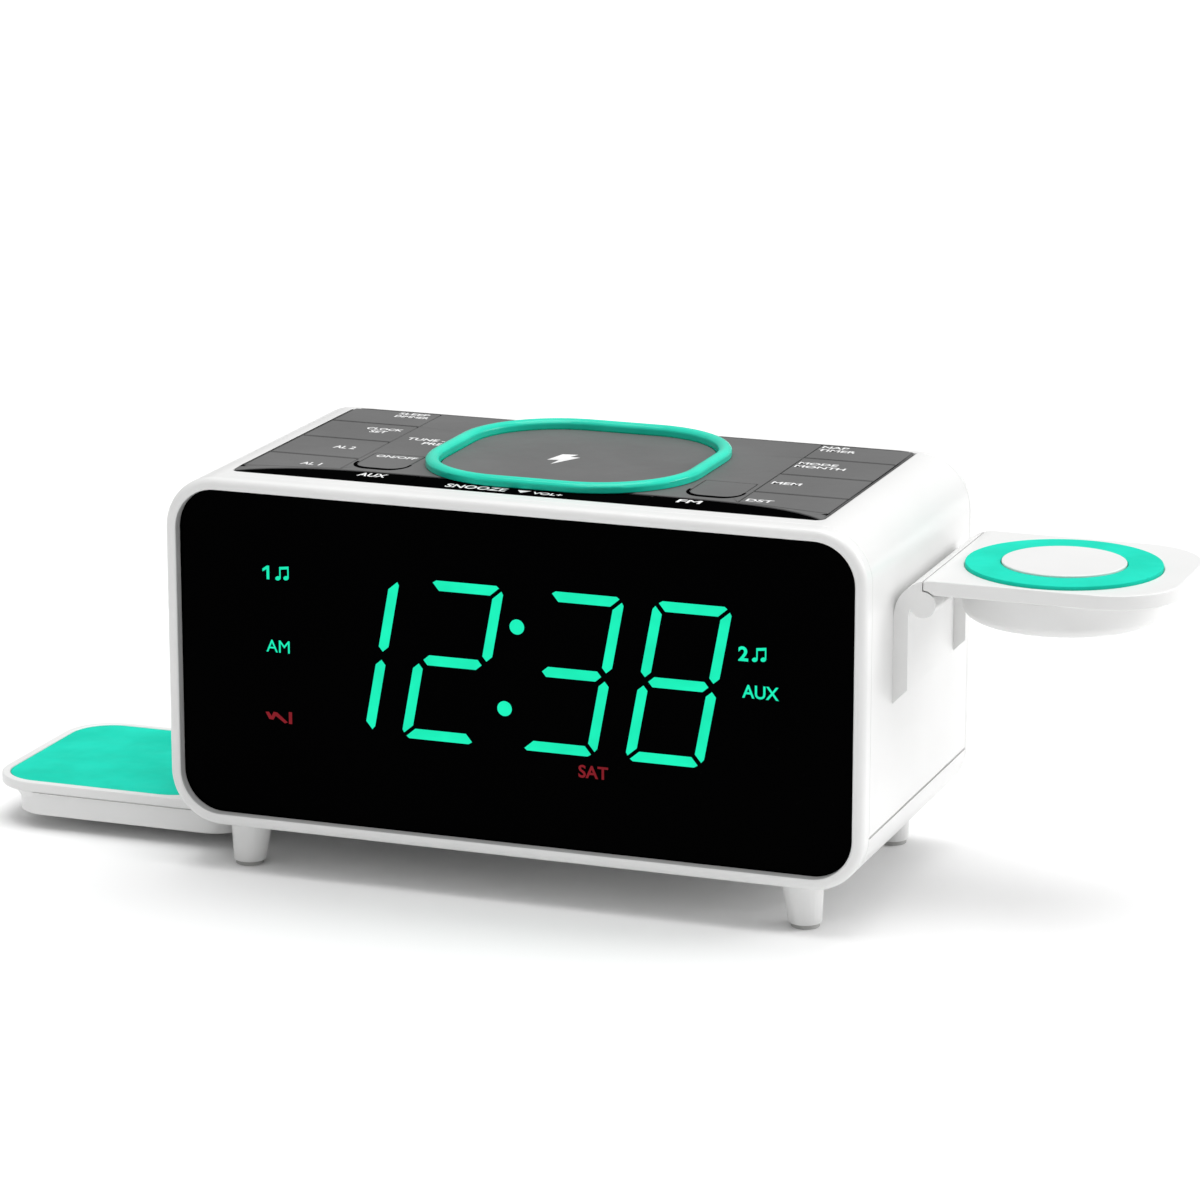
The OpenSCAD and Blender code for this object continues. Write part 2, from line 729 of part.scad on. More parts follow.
module speaker_frame() color(steel) {
  difference() {
    union() {
      speaker_disc(0.05, 2, speaker_r);
      speaker_disc(2, 9, speaker_r - 3);
    }
    speaker_disc(-1, 11, speaker_r - 4.5);
    speaker_disc(5, 10, 9);
  }
}

module speaker_cone() color(black) {
  translate([speaker_x, cover_y - 1.2, speaker_z]) rotate([90, 0, 0]) difference() {
    union() {
      cylinder(h = 1, r = speaker_r - 4.6);
      cylinder(h = 7, r1 = speaker_r - 7, r2 = 8);
    }
    translate([0, 0, -1]) cylinder(h = 6.5, r1 = speaker_r - 6.5, r2 = 7.5);
  }
}

module speaker_magnet() color(steel) speaker_disc(11, 7, 15);

// Round power inlet on the rear cover
module dc_jack() color(black) {
  difference() {
    union() {
      translate([jack_x, y_rear - 0.6, jack_z]) rotate([90, 0, 0]) cylinder(h = 2, r = 4);
      block(jack_x - 5, jack_x + 5, cover_y - 12, cover_y - 0.05, mid_z + board_t, jack_z + 5.5);
    }
    translate([jack_x, y_rear + 1, jack_z]) rotate([90, 0, 0]) cylinder(h = 12, r = 2.9);
  }
  translate([jack_x, y_rear - 1.5, jack_z]) rotate([90, 0, 0]) cylinder(h = 11, r = 1);
}

module cell_holder() color(black) {
  difference() {
    block(cell_x - 12.8, cell_x + 12.8, cell_y - 12.8, cell_y + 12.8, z0 + 5, z0 + 7.5);
    peg(cell_x, cell_y, z0 + 4, z0 + 6.2, 10.3);
  }
}

module backup_cell() color(steel) peg(cell_x, cell_y, z0 + 3, z0 + 6.2, 10);

// Door in the base, slid rearward to free it
module battery_door() color(white) {
  difference() {
    block(cell_x - door_half, cell_x + door_half, cell_y - door_half, cell_y + door_half, z0, z0 + 1.3);
    for (y = [cell_y + 4:1.6:cell_y + 11]) block(cell_x - 6, cell_x + 6, y, y + 0.8, z0 - 1, z0 + 0.4);
  }
}

module base_screws() color(steel) {
  for (sx = [-1, 1]) for (y = screw_y) screw_up(sx * screw_x, y, z0 + 2.4, 20);
}

module rear_screws() color(steel) {
  for (sx = [-1, 1]) for (z = rear_z) screw_in(sx * screw_x, z, 12);
}

// Tray moulding: flared rim, body, and the pair of T-rails that ride in the base
module tray_shell() color(white) {
  difference() {
    union() {
      plate(tray_x0, tray_x1, tray_y0, tray_y1, rim_z, tray_z1, tray_r);
      plate(tray_x0 + tray_flare, tray_x1, tray_y0 + 0.2, tray_y1 - 0.2, tray_z0, rim_z + 1, tray_r - 3);
      block(tray_x1 - 14, rail_x1 + 1, -18, 18, rim_z, tray_z1);
      for (s = [-1, 1]) {
        block(rail_x0, rail_x1, s * slot_y - slot_w / 2, s * slot_y + slot_w / 2, rim_z, floor_z + 0.5);
        block(rail_x0, rail_x1, s * slot_y - 4.4, s * slot_y + 4.4, floor_z + 0.3, floor_z + 2.3);
      }
    }
    plate(tray_x0 + tray_flare + 1.6, tray_x1 - 1.6, tray_y0 + 1.8, tray_y1 - 1.8, tray_z0 - 1,
      rim_z + 0.4, tray_r - 4.6);
    plate(tray_x0 + 2, tray_x1 - 11, tray_y0 + 2, tray_y1 - 2, rim_z + 1.2, tray_z1 + 1, tray_r - 2);
  }
}

// Plate let into the underside of the tray
module tray_bottom() color(white) {
  plate(tray_x0 + tray_flare + 1.7, tray_x1 - 1.7, tray_y0 + 1.9, tray_y1 - 1.9, tray_z0, tray_z0 + 1.9,
    tray_r - 4.7);
}

module tray_pad() color(teal) {
  plate(tray_x0 + 2.1, tray_x1 - 11.1, tray_y0 + 2.1, tray_y1 - 2.1, rim_z + 1.2, tray_z1 - 0.2,
    tray_r - 2.1);
}

module tray_coil() color(copper) {
  difference() {
    peg(tray_x, 1, tray_z0 + 3.2, tray_z0 + 5.2, 18);
    peg(tray_x, 1, tray_z0 + 3, tray_z0 + 6, 8);
  }
}

module tray_shield() color(steel) plate(tray_x - 20, tray_x + 20, -19, 21, tray_z0 + 1.9, tray_z0 + 3.2, 2);

// Cylinder along the arm's hinge axis
module hinge_rod(ya, yb, r) {
  translate([axis_x, yb, axis_z]) rotate([90, 0, 0]) cylinder(h = yb - ya, r = r);
}

// Quarter bend from the leg into the plate, drawn in X and Z
module bend_profile() {
  difference() {
    intersection() {
      translate([bend_x, bend_z]) circle(bend_r);
      translate([wall_x, bend_z]) square(bend_r);
    }
    translate([bend_x, bend_z]) circle(bend_r - arm_t);
  }
}

// Profile run along the arm's depth
module along_arm() {
  translate([0, arm_y1, 0]) rotate([90, 0, 0]) linear_extrude(arm_y1 - arm_y0) children();
}

// Fixed half: leg on the body's side, the bend up to the seam, and the two end knuckles
module arm_bracket() color(white) {
  side = wall_x + arm_t;
  recess_floor = wall_x + 0.6;
  difference() {
    union() {
      along_arm() polygon([[wall_x, leg_foot], [side, leg_foot + arm_t], [side, bend_z], [wall_x, bend_z]]);
      difference() {
        along_arm() bend_profile();
        block(axis_x - seam_gap, arm_x1, arm_y0 - 1, arm_y1 + 1, bend_z, arm_top + 1);
      }
      hinge_rod(arm_y0, arm_y0 + knuckle, barrel_r);
      hinge_rod(arm_y1 - knuckle, arm_y1, barrel_r);
    }
    hinge_rod(arm_y0 + knuckle, arm_y1 - knuckle, barrel_r + 0.35);
    hinge_rod(arm_y0 + 2, arm_y1 - 2, pin_r);
    block(recess_floor, side + 1, puck_y - puck_r - 0.6, puck_y + puck_r + 0.6, leg_foot - 1, bend_z + 0.3);
    for (y = leg_screws) translate([wall_x - 1, y, leg_screw_z]) rotate([0, 90, 0]) cylinder(h = 3.6, r = 1);
  }
}

module bracket_screws() color(steel) {
  for (y = leg_screws) translate([wall_x - 8.6, y, leg_screw_z]) rotate([0, 90, 0]) {
    cylinder(h = 1.6, r = 2.8);
    cylinder(h = 11, r = 1);
  }
}

module hinge_pin() color(steel) hinge_rod(arm_y0 + 2, arm_y1 - 2, pin_r);

// Outline of the arm plate beyond the bend, outer corners rounded
module arm_outline() {
  difference() {
    translate([bend_x - eps, arm_y0]) square([arm_x1 - bend_x + eps, arm_y1 - arm_y0]);
    for (front = [0, 1]) translate([arm_x1 - arm_corner, front ? arm_y0 + arm_corner : arm_y1 - arm_corner])
      mirror([0, front, 0]) difference() {
        square(arm_corner + 1);
        circle(arm_corner);
      }
  }
}

// Folding half: barrel, the rest of the bend, the plate and the collar that carries the puck
module arm_plate() color(white) {
  collar_r = puck_r - 1.7;
  difference() {
    union() {
      hinge_rod(arm_y0 + knuckle + 0.3, arm_y1 - knuckle - 0.3, barrel_r);
      intersection() {
        along_arm() bend_profile();
        block(axis_x, bend_x + 1, arm_y0, arm_y1, bend_z, arm_top);
      }
      translate([0, 0, under_z]) linear_extrude(arm_t) arm_outline();
      peg(puck_x, puck_y, under_z - 2, under_z + 1, collar_r);
    }
    for (y = [arm_y0 - 1, arm_y1 - knuckle - 0.3]) hinge_rod(y, y + knuckle + 1.3, barrel_r + 0.2);
    hinge_rod(arm_y0, arm_y1, pin_r + 0.05);
    peg(puck_x, puck_y, 0, under_z + 1.4, collar_r - 1.2);
    peg(puck_x, puck_y, arm_top - 0.6, arm_top + 1, puck_r - 0.3);
  }
}

// Cup below the plate, its lower edge rounded
module puck_cover() color(white) {
  translate([puck_x, puck_y, puck_z]) rotate_extrude() difference() {
    union() {
      translate([0, puck_round]) square([puck_r, puck_h - 0.05 - puck_round]);
      square([puck_r - puck_round, puck_round + 1]);
      translate([puck_r - puck_round, puck_round]) circle(puck_round);
    }
    translate([-1, 1.2]) square([puck_r - 3.2 + 1, puck_h]);
    translate([0, puck_round + 0.5]) square([puck_r - 1.5, puck_h]);
    translate([-puck_r, -1]) square([puck_r, puck_h + 2]);
  }
}

// Coloured ring around the watch's place
module watch_ring() color(teal) {
  difference() {
    peg(puck_x, puck_y, arm_top - 0.6, arm_top + 0.8, puck_r - 0.4);
    peg(puck_x, puck_y, arm_top - 1, arm_top + 2, 14.2);
  }
}

module watch_puck() color(white) peg(puck_x, puck_y, arm_top - 0.6, arm_top + 1.2, 14);

module watch_coil() color(copper) {
  difference() {
    peg(puck_x, puck_y, under_z - 4, under_z - 0.6, 13);
    peg(puck_x, puck_y, under_z - 5, under_z, 5);
  }
}

set_origin() upper_shell();
set_origin() base_cover();
set_origin() rear_cover();
set_origin() front_bezel();
set_origin() display_window();
set_origin() display_block();
set_origin() display_board();
set_origin() top_panel();
set_origin() front_lip();
set_origin() pad_ring();
set_origin() charge_pad();
set_origin() coil_carrier();
set_origin() phone_coil();
set_origin() phone_shield();
set_origin() key_sleep();
set_origin() key_clock();
set_origin() key_alarm_two();
set_origin() key_alarm_one();
set_origin() key_nap();
set_origin() key_mode();
set_origin() key_memory();
set_origin() key_timer();
set_origin() key_source();
set_origin() key_band();
set_origin() key_snooze();
set_origin() key_board_left();
set_origin() key_board_right();
set_origin() snooze_board();
set_origin() foot_front_left();
set_origin() foot_front_right();
set_origin() foot_rear_left();
set_origin() foot_rear_right();
set_origin() foot_pads();
set_origin() main_board();
set_origin() speaker_frame();
set_origin() speaker_cone();
set_origin() speaker_magnet();
set_origin() dc_jack();
set_origin() cell_holder();
set_origin() backup_cell();
set_origin() battery_door();
set_origin() base_screws();
set_origin() rear_screws();
set_origin() tray_shell();
set_origin() tray_bottom();
set_origin() tray_pad();
set_origin() tray_coil();
set_origin() tray_shield();
set_origin() arm_bracket();
set_origin() bracket_screws();
set_origin() hinge_pin();
set_origin() arm_plate();
set_origin() puck_cover();
set_origin() watch_ring();
set_origin() watch_puck();
set_origin() watch_coil();
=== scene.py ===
import json
import math

import bmesh
import bpy
from mathutils import Matrix, Vector


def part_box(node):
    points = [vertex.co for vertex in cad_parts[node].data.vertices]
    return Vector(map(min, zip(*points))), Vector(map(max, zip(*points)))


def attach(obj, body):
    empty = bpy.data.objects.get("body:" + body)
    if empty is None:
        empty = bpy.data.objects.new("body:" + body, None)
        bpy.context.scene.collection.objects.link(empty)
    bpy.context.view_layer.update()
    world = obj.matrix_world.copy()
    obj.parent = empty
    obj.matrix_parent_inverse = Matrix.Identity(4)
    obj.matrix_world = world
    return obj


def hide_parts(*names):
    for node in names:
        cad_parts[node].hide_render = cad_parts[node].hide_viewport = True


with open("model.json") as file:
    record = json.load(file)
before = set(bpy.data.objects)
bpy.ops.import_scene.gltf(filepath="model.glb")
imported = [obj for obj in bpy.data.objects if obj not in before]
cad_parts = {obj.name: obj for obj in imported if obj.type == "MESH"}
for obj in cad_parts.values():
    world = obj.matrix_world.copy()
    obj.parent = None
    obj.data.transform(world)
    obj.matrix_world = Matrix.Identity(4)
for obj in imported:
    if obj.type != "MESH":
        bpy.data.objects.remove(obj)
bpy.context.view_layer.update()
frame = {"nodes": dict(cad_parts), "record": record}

MM = 0.001
NODES = frame["nodes"]
HOME = {n: b for b, names in frame["record"]["behaviour"]["bodies"].items() for n in names}
SLOT = {s["node"]: s["material_slot"] for s in frame["record"]["subparts"]}

# ---------------------------------------------------------------- sizes taken from the frame
shell_lo, shell_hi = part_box("upper_shell")
MID_X = (shell_lo.x + shell_hi.x) / 2
window_lo, window_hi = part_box("display_window")
GLASS_Y = window_lo.y
LIP_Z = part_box("front_lip")[1].z
KEY_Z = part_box("key_clock")[1].z
PAD_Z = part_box("charge_pad")[1].z


# ---------------------------------------------------------------- materials
PLASTIC_IOR = 1.46
COAT_ROUGH = 0.08
SIGN_GLOSS = 0.05
STEEL_PATCH = 3.0
STEEL_GRAIN = 0.4
STEEL_RELIEF = 0.01
WIRE_PITCH = 0.7
WIRE_RELIEF = 0.15
WAVE_SCALE = 0.314  # scale of the wave texture that puts one ring in each metre


def new_material(name):
    """Material with its node tree and its main shader."""
    mat = bpy.data.materials.new(name)
    mat.use_nodes = True
    tree = mat.node_tree
    return mat, tree, tree.nodes["Principled BSDF"]


def noise(tree, patch, detail=2.0, rough=0.5):
    """Noise in the object's own coordinates, in patches of a size in millimetres."""
    coords = tree.nodes.new("ShaderNodeTexCoord")
    tex = tree.nodes.new("ShaderNodeTexNoise")
    tex.inputs["Scale"].default_value = 1.0 / (patch * MM)
    tex.inputs["Detail"].default_value = detail
    tex.inputs["Roughness"].default_value = rough
    tree.links.new(coords.outputs["Object"], tex.inputs["Vector"])
    return tex.outputs["Fac"]


def ramp(tree, fac, low, high, start=0.35, end=0.65):
    """Colour that drifts between two shades with a texture."""
    node = tree.nodes.new("ShaderNodeValToRGB")
    node.color_ramp.elements[0].position = start
    node.color_ramp.elements[0].color = (*low, 1)
    node.color_ramp.elements[1].position = end
    node.color_ramp.elements[1].color = (*high, 1)
    tree.links.new(fac, node.inputs["Fac"])
    return node.outputs["Color"]


def spread(tree, fac, low, high, start=0.3, end=0.7):
    """A texture mapped to a range of values."""
    node = tree.nodes.new("ShaderNodeMapRange")
    node.inputs["From Min"].default_value = start
    node.inputs["From Max"].default_value = end
    node.inputs["To Min"].default_value = low
    node.inputs["To Max"].default_value = high
    tree.links.new(fac, node.inputs["Value"])
    return node.outputs["Result"]


def bump(tree, shader, height, depth, strength=1.0):
    """Fine relief of a depth in millimetres."""
    node = tree.nodes.new("ShaderNodeBump")
    node.inputs["Strength"].default_value = strength
    node.inputs["Distance"].default_value = depth * MM
    tree.links.new(height, node.inputs["Height"])
    tree.links.new(node.outputs["Normal"], shader.inputs["Normal"])


def plastic(name, low, high, rough, grain, depth, coat=0.0, level=0.5, patch=30.0):
    """Moulded plastic: slow drift of shade, uneven gloss and a fine moulded skin. Sizes in millimetres."""
    mat, tree, shader = new_material(name)
    tree.links.new(ramp(tree, noise(tree, patch, 3.0), low, high), shader.inputs["Base Color"])
    tree.links.new(spread(tree, noise(tree, patch * 0.4, 4.0, 0.6), *rough), shader.inputs["Roughness"])
    shader.inputs["IOR"].default_value = PLASTIC_IOR
    shader.inputs["Specular IOR Level"].default_value = level
    shader.inputs["Coat Weight"].default_value = coat
    shader.inputs["Coat Roughness"].default_value = COAT_ROUGH
    bump(tree, shader, noise(tree, grain), depth)
    return mat


def glow(name, colour, strength, low, high):
    """Lit sign: diffused light that is a little stronger in places, on a satin face."""
    mat, tree, shader = new_material(name)
    tree.links.new(ramp(tree, noise(tree, 4.0), low, high), shader.inputs["Base Color"])
    tree.links.new(spread(tree, noise(tree, 6.0), 0.35, 0.5), shader.inputs["Roughness"])
    shader.inputs["Specular IOR Level"].default_value = SIGN_GLOSS
    shader.inputs["Emission Color"].default_value = (*colour, 1)
    power = spread(tree, noise(tree, 8.0), strength * 0.94, strength * 1.06)
    tree.links.new(power, shader.inputs["Emission Strength"])
    return mat


def metal(name, low, high, rough):
    """Plated metal with a faintly cloudy face."""
    mat, tree, shader = new_material(name)
    tree.links.new(ramp(tree, noise(tree, STEEL_PATCH, 3.0), low, high), shader.inputs["Base Color"])
    tree.links.new(spread(tree, noise(tree, STEEL_PATCH * 0.4, 4.0, 0.6), *rough), shader.inputs["Roughness"])
    shader.inputs["Metallic"].default_value = 1.0
    bump(tree, shader, noise(tree, STEEL_GRAIN, 3.0), STEEL_RELIEF)
    return mat


def wound_wire(name, low, high, axis):
    """Enamelled wire wound in rings about an upright axis."""
    mat, tree, shader = new_material(name)
    coords = tree.nodes.new("ShaderNodeTexCoord")
    mapping = tree.nodes.new("ShaderNodeMapping")
    mapping.inputs["Location"].default_value = -axis
    wave = tree.nodes.new("ShaderNodeTexWave")
    wave.wave_type = "RINGS"
    wave.rings_direction = "Z"
    wave.inputs["Scale"].default_value = WAVE_SCALE / (WIRE_PITCH * MM)
    wave.inputs["Distortion"].default_value = 0.15
    tree.links.new(coords.outputs["Object"], mapping.inputs["Vector"])
    tree.links.new(mapping.outputs["Vector"], wave.inputs["Vector"])
    tree.links.new(ramp(tree, wave.outputs["Fac"], low, high, 0.1, 0.8), shader.inputs["Base Color"])
    tree.links.new(spread(tree, noise(tree, 4.0), 0.25, 0.4), shader.inputs["Roughness"])
    shader.inputs["Metallic"].default_value = 0.9
    bump(tree, shader, wave.outputs["Fac"], WIRE_RELIEF, 0.8)
    return mat


MATERIALS = {
    "white_shell": plastic(
        "White_shell", (0.76, 0.76, 0.755), (0.81, 0.81, 0.805), rough=(0.3, 0.34),
        grain=1.2, depth=0.002, coat=0.15, patch=60.0),
    "black_window": plastic(
        "Smoked_window", (0.0002, 0.0002, 0.00025), (0.0004, 0.0004, 0.00045), rough=(0.05, 0.1),
        grain=4.0, depth=0.004, level=0.006, patch=50.0),
    "black_lip": plastic(
        "Black_gloss", (0.0008, 0.0008, 0.0009), (0.0014, 0.0014, 0.0015), rough=(0.2, 0.26),
        grain=1.5, depth=0.003, level=0.0),
    "grey_panel": plastic(
        "Grey_satin", (0.112, 0.112, 0.112), (0.13, 0.13, 0.13), rough=(0.42, 0.55),
        grain=0.35, depth=0.012, level=0.3),
    "teal_trim": plastic(
        "Teal_trim", (0.012, 0.62, 0.44), (0.02, 0.7, 0.5), rough=(0.2, 0.27),
        grain=0.8, depth=0.004, level=0.22, coat=0.08, patch=12.0),
    "teal_mat": plastic(
        "Teal_mat", (0.008, 0.56, 0.4), (0.012, 0.64, 0.47), rough=(0.6, 0.75),
        grain=0.6, depth=0.008, level=0.08, patch=12.0),
    "inner_white": plastic(
        "Inner_white", (0.7, 0.7, 0.68), (0.78, 0.78, 0.76), rough=(0.5, 0.65),
        grain=0.5, depth=0.02),
    "circuit_board": plastic(
        "Circuit_board", (0.01, 0.1, 0.035), (0.02, 0.16, 0.06), rough=(0.3, 0.45),
        grain=0.9, depth=0.03, patch=6.0),
    "dark_ferrite": plastic(
        "Ferrite", (0.03, 0.03, 0.03), (0.06, 0.06, 0.058), rough=(0.6, 0.8),
        grain=0.4, depth=0.05, patch=4.0),
    "soft_rubber": plastic(
        "Soft_rubber", (0.42, 0.42, 0.41), (0.5, 0.5, 0.49), rough=(0.7, 0.85),
        grain=0.5, depth=0.04, level=0.3),
    "black_plastic": plastic(
        "Black_plastic", (0.012, 0.012, 0.012), (0.022, 0.022, 0.022), rough=(0.4, 0.55),
        grain=0.5, depth=0.02),
    "steel": metal("Plated_steel", (0.5, 0.5, 0.51), (0.66, 0.66, 0.67), rough=(0.22, 0.4)),
    "green_light": glow("Green_light", (0.008, 0.84, 0.47), 1.0, (0.002, 0.04, 0.024), (0.003, 0.06, 0.035)),
    "red_light": glow("Red_light", (0.26, 0.012, 0.02), 0.75, (0.03, 0.002, 0.003), (0.05, 0.003, 0.004)),
    # grey copy of the white plastic: painted shade for the bezel's inner wall
    "bezel_wall_painted_shade": plastic(
        "Bezel_wall_painted_shade", (0.46, 0.46, 0.46), (0.5, 0.5, 0.5), rough=(0.3, 0.4),
        grain=0.7, depth=0.004),
    "white_print": plastic(
        "White_print", (0.75, 0.75, 0.75), (0.85, 0.85, 0.85), rough=(0.45, 0.6),
        grain=0.3, depth=0.01, patch=4.0),
}
COILS = {}
for coil in ("phone_coil", "tray_coil", "watch_coil"):
    lo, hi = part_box(coil)
    COILS[coil] = wound_wire("Wire_" + coil, (0.25, 0.09, 0.035), (0.85, 0.42, 0.2), (lo + hi) / 2)

# every CAD node gets a material, whether it shows or not
for name, node in NODES.items():
    mat = COILS.get(name) or MATERIALS[SLOT[name]]
    if node.data.materials:
        for i in range(len(node.data.materials)):
            node.data.materials[i] = mat
    else:
        node.data.materials.append(mat)


# ---------------------------------------------------------------- moulded pieces with rounded edges
WELD = 0.002
FLAT_ANGLE = math.radians(0.4)
SHARP_ANGLE = math.radians(30.0)
BEVEL_STEPS = 3
FACE_WEIGHT = 80


def link(name, mesh, slot, body):
    """New piece in the scene that moves with a body."""
    obj = bpy.data.objects.new(name, mesh)
    bpy.context.scene.collection.objects.link(obj)
    mesh.materials.clear()
    mesh.materials.append(MATERIALS[slot])
    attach(obj, body)
    return obj


def apply_modifiers(obj):
    """Keeps the mesh that the modifiers give, without the modifiers."""
    depsgraph = bpy.context.evaluated_depsgraph_get()
    mesh = bpy.data.meshes.new_from_object(obj.evaluated_get(depsgraph))
    old = obj.data
    obj.modifiers.clear()
    obj.data = mesh
    bpy.data.meshes.remove(old)


def soften(node, width):
    """The CAD piece with its sharp edges rounded off, standing for the CAD node. Worked in millimetres."""
    mesh = NODES[node].data.copy()
    stale = mesh.attributes.get("custom_normal")
    if stale:
        mesh.attributes.remove(stale)
    bm = bmesh.new()
    bm.from_mesh(mesh)
    bmesh.ops.scale(bm, vec=(1 / MM, 1 / MM, 1 / MM), verts=bm.verts)
    bmesh.ops.remove_doubles(bm, verts=bm.verts, dist=WELD)
    if node not in PIERCED:
        bmesh.ops.dissolve_limit(bm, angle_limit=FLAT_ANGLE, verts=bm.verts, edges=bm.edges)
    for face in bm.faces:
        face.smooth = True
    bm.to_mesh(mesh)
    bm.free()
    obj = link("Soft_" + node, mesh, SLOT[node], HOME[node])
    bevel = obj.modifiers.new("Edges", "BEVEL")
    bevel.width = width
    bevel.segments = BEVEL_STEPS
    bevel.limit_method = "ANGLE"
    bevel.angle_limit = SHARP_ANGLE
    bevel.use_clamp_overlap = node in CLAMPED
    bevel.miter_outer = "MITER_ARC"
    bevel.loop_slide = False
    normals = obj.modifiers.new("Normals", "WEIGHTED_NORMAL")
    normals.keep_sharp = False
    normals.weight = FACE_WEIGHT
    apply_modifiers(obj)
    obj.data.transform(Matrix.Scale(MM, 4))
    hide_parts(node)
    return obj


# flat faces with openings in them keep the frame's own triangles, which go round the openings
PIERCED = {
    "top_panel", "upper_shell", "front_lip", "front_bezel", "base_cover", "rear_cover", "arm_plate",
    "tray_shell", "puck_cover", "arm_bracket", "tray_bottom", "pad_ring", "watch_ring", "battery_door",
    "dc_jack",
}
# pieces with thin walls, where a full rounding would cross itself
CLAMPED = {"arm_bracket", "base_cover"}
# how far each piece's sharp edges are rounded, in millimetres
KEY_EDGE = 0.3
EDGES = {
    "upper_shell": 0.3, "base_cover": 0.3, "rear_cover": 0.4, "front_bezel": 0.25, "display_window": 0.2,
    "top_panel": 0.25, "front_lip": 0.2, "charge_pad": 0.25, "pad_ring": 0.2,
    "foot_front_left": 0.3, "foot_front_right": 0.3, "foot_rear_left": 0.3, "foot_rear_right": 0.3,
    "tray_shell": 0.4, "tray_bottom": 0.3, "tray_pad": 0.15,
    "arm_bracket": 0.3, "arm_plate": 0.4, "puck_cover": 0.4, "watch_ring": 0.2, "watch_puck": 0.3,
    "battery_door": 0.2, "dc_jack": 0.2, "foot_pads": 0.15,
}
for name in HOME:
    if name.startswith("key_") and not name.startswith("key_board"):
        EDGES[name] = KEY_EDGE
SOFT = {name: soften(name, width) for name, width in EDGES.items()}

# the tray's pad and the ring under the watch are matt, the ring round the charging pad is glossy
for name in ("tray_pad", "watch_ring"):
    SOFT[name].data.materials[0] = MATERIALS["teal_mat"]

# painted shade: the wall between the bezel's face and the window gets a grey copy of the white plastic,
# standing for the shade of the bezel
WINDOW_MID_Z = (window_lo.z + window_hi.z) / 2
WALL_END_Y = GLASS_Y + 0.2 * MM
FACES_IN = -0.3
FACES_ASIDE = 0.5
bezel = SOFT["front_bezel"].data
bezel.materials.append(MATERIALS["bezel_wall_painted_shade"])
for face in bezel.polygons:
    away = Vector((face.center.x - MID_X, 0, face.center.z - WINDOW_MID_Z))
    on_wall = face.normal.dot(away.normalized()) < FACES_IN and abs(face.normal.y) < FACES_ASIDE
    if on_wall and face.center.y < WALL_END_Y:
        face.material_index = 1


def plan_outline(lo, hi, radius, n=12):
    """Rounded rectangle in plan between two corners, as a list of points that go round it."""
    points = []
    corners = ((hi.x, hi.y, 0), (lo.x, hi.y, 90), (lo.x, lo.y, 180), (hi.x, lo.y, 270))
    for cx, cy, start in corners:
        sx, sy = (1 if cx == hi.x else -1), (1 if cy == hi.y else -1)
        mid = (cx - sx * radius, cy - sy * radius)
        for i in range(n + 1):
            a = math.radians(start + 90 * i / n)
            points.append((mid[0] + radius * math.cos(a), mid[1] + radius * math.sin(a)))
    return points


def loft(name, loops, slot, body):
    """Closed band through loops of the same number of points; the last loop joins the first."""
    bm = bmesh.new()
    rows = [[bm.verts.new(p) for p in loop] for loop in loops]
    for a, b in zip(rows, rows[1:] + rows[:1]):
        for i in range(len(a)):
            j = (i + 1) % len(a)
            bm.faces.new((a[i], a[j], b[j], b[i]))
    bmesh.ops.recalc_face_normals(bm, faces=bm.faces)
    for face in bm.faces:
        face.smooth = True
    mesh = bpy.data.meshes.new(name)
    bm.to_mesh(mesh)
    bm.free()
    return link(name, mesh, slot, body)


# hollow sweep under the tray's rim, from the rim's edge down into the wall
RIM_T = 2.5
RIM_R = 12.0
RIM_BITE = 0.2
WALL_R = 9.0
OVERHANG = 6.0
SIDE_GAP = 0.4
COVERED = 19.0
FLARE_DROP = 3.8
FLARE_SKIN = 0.8
FLARE_STEPS = 8
tray_lo, tray_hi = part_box("tray_shell")
FLARE_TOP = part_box("tray_pad")[1].z - (RIM_T - RIM_BITE) * MM
FLARE_FOOT = FLARE_TOP - FLARE_DROP * MM
rim_lo = Vector((tray_lo.x + RIM_BITE * MM, tray_lo.y + SIDE_GAP * MM, 0))
rim_hi = Vector((tray_hi.x - COVERED * MM, tray_hi.y - SIDE_GAP * MM, 0))
wall_lo = rim_lo + Vector((OVERHANG * MM, 0, 0))
rim = plan_outline(rim_lo, rim_hi, RIM_R * MM)
wall = plan_outline(wall_lo, rim_hi, WALL_R * MM)
flare = []
for i in range(FLARE_STEPS + 1):
    t = math.pi / 2 * i / FLARE_STEPS
    out = 1 - math.sin(t)
    z = FLARE_TOP - FLARE_DROP * MM * (1 - math.cos(t))
    pairs = zip(rim, wall)
    flare.append([(wx + (rx - wx) * out, wy + (ry - wy) * out, z) for (rx, ry), (wx, wy) in pairs])
skin = Vector((FLARE_SKIN * MM, FLARE_SKIN * MM, 0))
inner = plan_outline(wall_lo + skin, rim_hi - skin, (WALL_R - FLARE_SKIN) * MM)
flare.append([(x, y, FLARE_FOOT) for x, y in inner])
flare.append([(x, y, FLARE_TOP) for x, y in inner])
loft("Tray_flare", flare, "white_shell", "earbud_tray")

# ---------------------------------------------------------------- flat marks: display, signs and labels
PRINT_GAP = 0.01
LIGHT_T = 0.06
PRINT_T = 0.04
# thickness of the painted shadow bands round the tongue keys
SHADOW_BAND_T = 0.03


def flat_mark(name, outlines, place, thick, slot, body):
    """Closed outlines in a plane, given a thickness in millimetres. place maps (u, v, height) to a point."""
    bm = bmesh.new()
    for outline in outlines:
        low = [bm.verts.new(place(u, v, 0)) for u, v in outline]
        high = [bm.verts.new(place(u, v, thick)) for u, v in outline]
        bm.faces.new(high)
        bm.faces.new(list(reversed(low)))
        for i in range(len(outline)):
            j = (i + 1) % len(outline)
            bm.faces.new((low[i], low[j], high[j], high[i]))
    bmesh.ops.recalc_face_normals(bm, faces=bm.faces)
    mesh = bpy.data.meshes.new(name)
    bm.to_mesh(mesh)
    bm.free()
    return link(name, mesh, slot, body)


